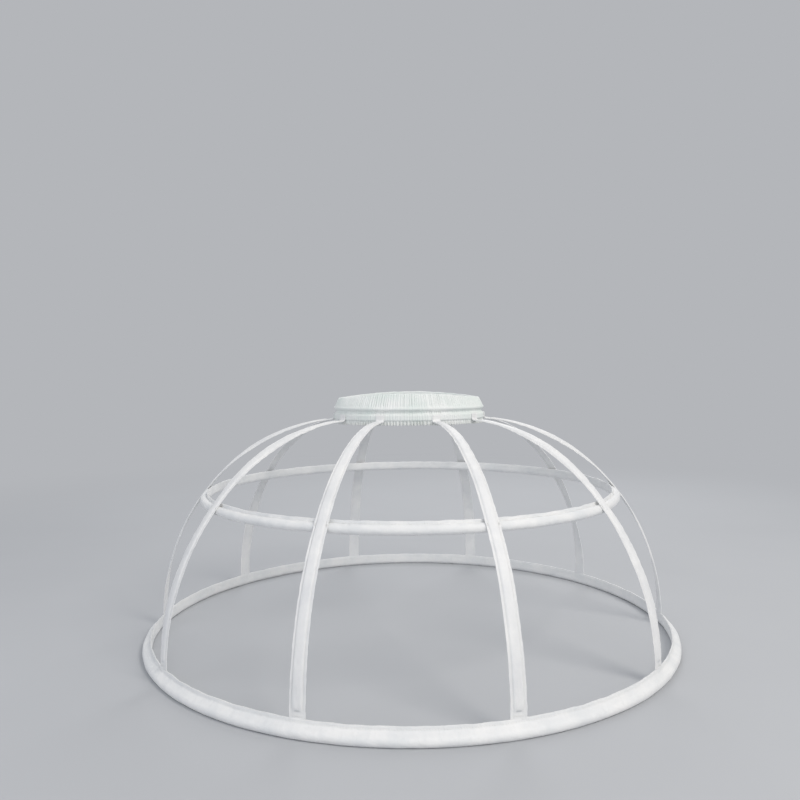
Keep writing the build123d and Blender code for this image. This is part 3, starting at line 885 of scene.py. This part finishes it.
# two rows of gathering stitches on the lower band
band_lines = []
for z, half in ((LOWER_Z + 1.6, LOWER_HALF - 0.12), (LOWER_Z + 6.6, LOWER_HALF - 0.25)):
    line = []
    for i in range(GATHER_STEPS + 1):
        angle = 2 * math.pi * i / GATHER_STEPS
        dip = 0.3 * (1 - near_rib(angle)) * fold(angle, z, BAND_FOLDS, 1.0)
        x, y = oval_point(half - dip, angle)
        line.append((x, y, z))
    band_lines.append(line)
band_stitches = sew("waistband_stitches", band_lines, 41, Pitch=2.6, Length=2.0, Radius=0.22)
finish_piece(band_stitches, "thread")


# Carried-over nodes inside the covers

def dress(node, material):
    """Give a node of the part its own material and leave its shape."""
    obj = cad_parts[node]
    obj.data.materials.clear()
    obj.data.materials.append(material)


for node in ("hem_hoop", "upper_hoop"):
    dress(node + "_core", TUBE)
    dress(node + "_joiner", PLUG)
dress("waist_elastic", ELASTIC)


# Floor, light and camera

def stage_floor():
    """Pale floor that keeps the shadow and fades into the backdrop farther out."""
    reach = 9000.0
    steps = 96
    points = [(reach * math.cos(2 * math.pi * i / steps), reach * math.sin(2 * math.pi * i / steps), -0.02)
              for i in range(steps)]
    material, tree, shader = start_material("floor", 0.95)
    where = add(tree, "ShaderNodeTexCoord").outputs["Object"]
    tree.links.new(mottled(tree, "#BEC0C3", "#BABCBF", 900.0, where), shader.inputs["Base Color"])
    away = add(tree, "ShaderNodeVectorMath", [(0, where)], operation="LENGTH")
    fade = add(tree, "ShaderNodeMapRange", [("Value", away.outputs["Value"]), ("From Min", 0.75),
                                            ("From Max", 2.6)], interpolation_type="SMOOTHERSTEP")
    ray = add(tree, "ShaderNodeLightPath")
    shown = add(tree, "ShaderNodeMath", [(0, fade.outputs[0]), (1, ray.outputs["Is Camera Ray"])],
                operation="MULTIPLY")
    glow = add(tree, "ShaderNodeEmission", [("Color", linear(BACKDROP)), ("Strength", 1.0)])
    mix = add(tree, "ShaderNodeMixShader", [(0, shown.outputs[0]), (1, shader.outputs[0]),
                                            (2, glow.outputs[0])])
    tree.links.new(mix.outputs[0], tree.nodes["Material Output"].inputs["Surface"])
    floor = new_object("floor", points, [list(range(steps))], material, shade=False)


def lamp(name, place, size, power, colour):
    """Round area lamp; place and size are in metres, power in watts."""
    data = bpy.data.lights.new(name, "AREA")
    data.shape = "DISK"
    data.size = size
    data.energy = power
    data.color = linear(colour)[:3]
    obj = bpy.data.objects.new(name, data)
    bpy.context.scene.collection.objects.link(obj)
    obj.location = place
    obj.rotation_euler = (Vector(LAMP_AIM) - Vector(place)).to_track_quat("-Z", "Y").to_euler()


def set_world():
    """Plain backdrop for the camera, and a faintly cool sky that lights the part."""
    world = bpy.data.worlds.new("studio")
    world.use_nodes = True
    tree = world.node_tree
    tree.nodes.clear()
    seen = add(tree, "ShaderNodeBackground", [("Color", linear(BACKDROP)), ("Strength", 1.0)])
    light = add(tree, "ShaderNodeBackground", [("Color", linear("#F4F6FA")), ("Strength", 0.58)])
    ray = add(tree, "ShaderNodeLightPath")
    mix = add(tree, "ShaderNodeMixShader", [(0, ray.outputs["Is Camera Ray"]), (1, light.outputs[0]),
                                            (2, seen.outputs[0])])
    add(tree, "ShaderNodeOutputWorld", [("Surface", mix.outputs[0])])
    bpy.context.scene.world = world


def set_camera():
    """Eye level a little above the waistband, turned very slightly left and down."""
    yaw = math.radians(CAMERA_YAW)
    pitch = math.radians(CAMERA_PITCH)
    roll = math.radians(CAMERA_ROLL)
    forward = Vector((math.sin(yaw) * math.cos(pitch), math.cos(yaw) * math.cos(pitch), math.sin(pitch)))
    level = Vector((math.cos(yaw), -math.sin(yaw), 0.0))
    upright = level.cross(forward)
    right = math.cos(roll) * level + math.sin(roll) * upright
    up = -math.sin(roll) * level + math.cos(roll) * upright
    data = bpy.data.cameras.new("camera")
    data.sensor_width = 36.0
    data.lens = CAMERA_LENS
    camera = bpy.data.objects.new("camera", data)
    bpy.context.scene.collection.objects.link(camera)
    turn = Matrix((right, up, -forward)).transposed()
    camera.matrix_world = Matrix.Translation(CAMERA_PLACE) @ turn.to_4x4()
    bpy.context.scene.camera = camera


stage_floor()
lamp("key", (1.5, -1.6, 2.3), 1.3, 34.0, "#FFFAF4")
lamp("front", (0.5, -2.6, 1.0), 1.6, 9.0, "#FFFFFF")
lamp("fill", (-2.2, -1.4, 1.2), 2.2, 10.0, "#EEF3FF")
lamp("back", (0.4, 2.2, 1.8), 1.8, 20.0, "#FFFFFF")
set_world()
set_camera()
bpy.context.scene.view_settings.view_transform = "Standard"
